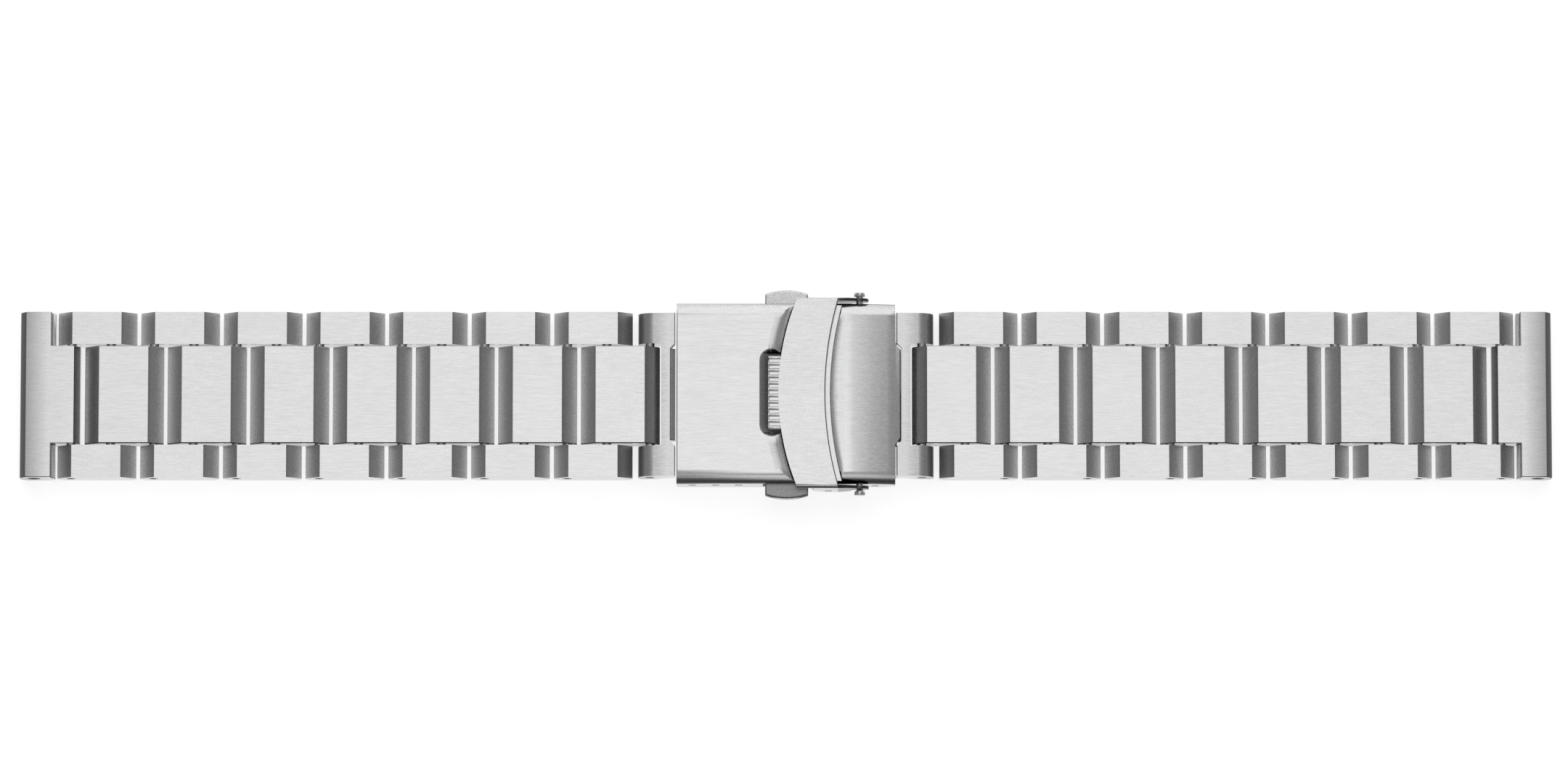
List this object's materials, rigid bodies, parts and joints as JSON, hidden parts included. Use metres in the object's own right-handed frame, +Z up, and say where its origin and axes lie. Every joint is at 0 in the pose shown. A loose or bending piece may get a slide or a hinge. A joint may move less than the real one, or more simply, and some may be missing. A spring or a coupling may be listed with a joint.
{
  "type": "watch bracelet",
  "caption": "Flat brushed steel watch bracelet with three-row solid links, square end pieces, a double-lock fold-over clasp, push buttons and a curved safety flap.",
  "frame": {"origin": "under the middle of the clasp, on the plane that the bracelet lies on", "axes": "+X along the bracelet towards the half that the lower fold blade carries, +Y across it towards the back edge, +Z up out of the band's outer face"},
  "size_m": [0.2028, 0.0276, 0.0065],
  "materials": {
    "link_steel": "fine brushing along the band on the flats, satin slopes, polished sides",
    "clasp_steel": "fine brushing along the band, polished side walls",
    "polished_steel": "very fine brushing, nearly polished",
    "button_steel": "bead blasted, grainy",
    "blade_steel": "satin sheet",
    "pin_steel": "plain drawn wire"
  },
  "bodies": {
    "lower_blade": {"lower_blade": "blade_steel", "fold_pin": "pin_steel"},
    "upper_blade": {"upper_blade": "blade_steel"},
    "cover": {"cover": "clasp_steel", "lid_pin": "pin_steel", "adjust_bar": "pin_steel", "flap_rivets": "polished_steel"},
    "flap": {"flap": "polished_steel"},
    "front_button": {"front_button": "button_steel"},
    "back_button": {"back_button": "button_steel"},
    "left_connector": {"left_connector": "link_steel", "left_connector_pin": "pin_steel"},
    "right_connector": {"right_connector": "link_steel", "right_connector_pin": "pin_steel", "band_pin": "pin_steel"},
    "left_link_7": {"left_7_outers": "link_steel", "left_7_centre": "link_steel", "left_7_pins": "pin_steel"},
    "left_link_6": {"left_6_outers": "link_steel", "left_6_centre": "link_steel", "left_6_pins": "pin_steel"},
    "left_link_5": {"left_5_outers": "link_steel", "left_5_centre": "link_steel", "left_5_pins": "pin_steel"},
    "left_link_4": {"left_4_outers": "link_steel", "left_4_centre": "link_steel", "left_4_pins": "pin_steel"},
    "left_link_3": {"left_3_outers": "link_steel", "left_3_centre": "link_steel", "left_3_pins": "pin_steel"},
    "left_link_2": {"left_2_outers": "link_steel", "left_2_centre": "link_steel", "left_2_pins": "pin_steel"},
    "left_link_1": {"left_1_outers": "link_steel", "left_1_centre": "link_steel", "left_1_pins": "pin_steel"},
    "left_end": {"left_end": "link_steel"},
    "right_link_7": {"right_7_outers": "link_steel", "right_7_centre": "link_steel", "right_7_pins": "pin_steel"},
    "right_link_6": {"right_6_outers": "link_steel", "right_6_centre": "link_steel", "right_6_pins": "pin_steel"},
    "right_link_5": {"right_5_outers": "link_steel", "right_5_centre": "link_steel", "right_5_pins": "pin_steel"},
    "right_link_4": {"right_4_outers": "link_steel", "right_4_centre": "link_steel", "right_4_pins": "pin_steel"},
    "right_link_3": {"right_3_outers": "link_steel", "right_3_centre": "link_steel", "right_3_pins": "pin_steel"},
    "right_link_2": {"right_2_outers": "link_steel", "right_2_centre": "link_steel", "right_2_pins": "pin_steel"},
    "right_link_1": {"right_1_outers": "link_steel", "right_1_centre": "link_steel", "right_1_pins": "pin_steel"},
    "right_end": {"right_end": "link_steel"}
  },
  "joints": [
    {"name": "clasp_fold", "type": "hinge", "parent": "lower_blade", "child": "upper_blade", "pos_m": [-0.0115, 0, 0.001], "axis": [0, -1, 0], "range_deg": [0, 165]},
    {"name": "cover_fold", "type": "hinge", "parent": "upper_blade", "child": "cover", "pos_m": [0.0118, 0, 0.0027], "axis": [0, 1, 0], "range_deg": [0, 165]},
    {"name": "flap_hinge", "type": "hinge", "parent": "cover", "child": "flap", "pos_m": [0.00975, 0, 0.0044], "axis": [0, 1, 0], "range_deg": [0, 110]},
    {"name": "front_button_push", "type": "slide", "parent": "cover", "child": "front_button", "axis": [0, 1, 0], "range_m": [0, 0.001], "stiffness_N_per_m": 400},
    {"name": "back_button_push", "type": "slide", "parent": "cover", "child": "back_button", "axis": [0, -1, 0], "range_m": [0, 0.001], "stiffness_N_per_m": 400},
    {"name": "left_connector_hinge", "type": "hinge", "parent": "cover", "child": "left_connector", "pos_m": [-0.01235, 0, 0.00355], "axis": [0, -1, 0], "range_deg": [0, 30]},
    {"name": "right_connector_hinge", "type": "hinge", "parent": "lower_blade", "child": "right_connector", "pos_m": [0.0142, 0, 0.0022], "axis": [0, -1, 0], "range_deg": [-30, 0]},
    {"name": "left_hinge_8", "type": "hinge", "parent": "left_connector", "child": "left_link_7", "pos_m": [-0.018, 0, 0.0021], "axis": [0, -1, 0], "range_deg": [-8, 24]},
    {"name": "left_hinge_7", "type": "hinge", "parent": "left_link_7", "child": "left_link_6", "pos_m": [-0.02895, 0, 0.0021], "axis": [0, -1, 0], "range_deg": [-8, 24]},
    {"name": "left_hinge_6", "type": "hinge", "parent": "left_link_6", "child": "left_link_5", "pos_m": [-0.0399, 0, 0.0021], "axis": [0, -1, 0], "range_deg": [-8, 24]},
    {"name": "left_hinge_5", "type": "hinge", "parent": "left_link_5", "child": "left_link_4", "pos_m": [-0.05085, 0, 0.0021], "axis": [0, -1, 0], "range_deg": [-8, 24]},
    {"name": "left_hinge_4", "type": "hinge", "parent": "left_link_4", "child": "left_link_3", "pos_m": [-0.0618, 0, 0.0021], "axis": [0, -1, 0], "range_deg": [-8, 24]},
    {"name": "left_hinge_3", "type": "hinge", "parent": "left_link_3", "child": "left_link_2", "pos_m": [-0.07275, 0, 0.0021], "axis": [0, -1, 0], "range_deg": [-8, 24]},
    {"name": "left_hinge_2", "type": "hinge", "parent": "left_link_2", "child": "left_link_1", "pos_m": [-0.0837, 0, 0.0021], "axis": [0, -1, 0], "range_deg": [-8, 24]},
    {"name": "left_hinge_1", "type": "hinge", "parent": "left_link_1", "child": "left_end", "pos_m": [-0.09465, 0, 0.0021], "axis": [0, -1, 0], "range_deg": [-8, 24]},
    {"name": "right_hinge_8", "type": "hinge", "parent": "right_connector", "child": "right_link_7", "pos_m": [0.018, 0, 0.0021], "axis": [0, -1, 0], "range_deg": [-24, 8]},
    {"name": "right_hinge_7", "type": "hinge", "parent": "right_link_7", "child": "right_link_6", "pos_m": [0.02895, 0, 0.0021], "axis": [0, -1, 0], "range_deg": [-24, 8]},
    {"name": "right_hinge_6", "type": "hinge", "parent": "right_link_6", "child": "right_link_5", "pos_m": [0.0399, 0, 0.0021], "axis": [0, -1, 0], "range_deg": [-24, 8]},
    {"name": "right_hinge_5", "type": "hinge", "parent": "right_link_5", "child": "right_link_4", "pos_m": [0.05085, 0, 0.0021], "axis": [0, -1, 0], "range_deg": [-24, 8]},
    {"name": "right_hinge_4", "type": "hinge", "parent": "right_link_4", "child": "right_link_3", "pos_m": [0.0618, 0, 0.0021], "axis": [0, -1, 0], "range_deg": [-24, 8]},
    {"name": "right_hinge_3", "type": "hinge", "parent": "right_link_3", "child": "right_link_2", "pos_m": [0.07275, 0, 0.0021], "axis": [0, -1, 0], "range_deg": [-24, 8]},
    {"name": "right_hinge_2", "type": "hinge", "parent": "right_link_2", "child": "right_link_1", "pos_m": [0.0837, 0, 0.0021], "axis": [0, -1, 0], "range_deg": [-24, 8]},
    {"name": "right_hinge_1", "type": "hinge", "parent": "right_link_1", "child": "right_end", "pos_m": [0.09465, 0, 0.0021], "axis": [0, -1, 0], "range_deg": [-24, 8]}
  ],
  "couplings": [
    {"joint": "cover_fold", "follows": "clasp_fold", "ratio": 1}
  ]
}
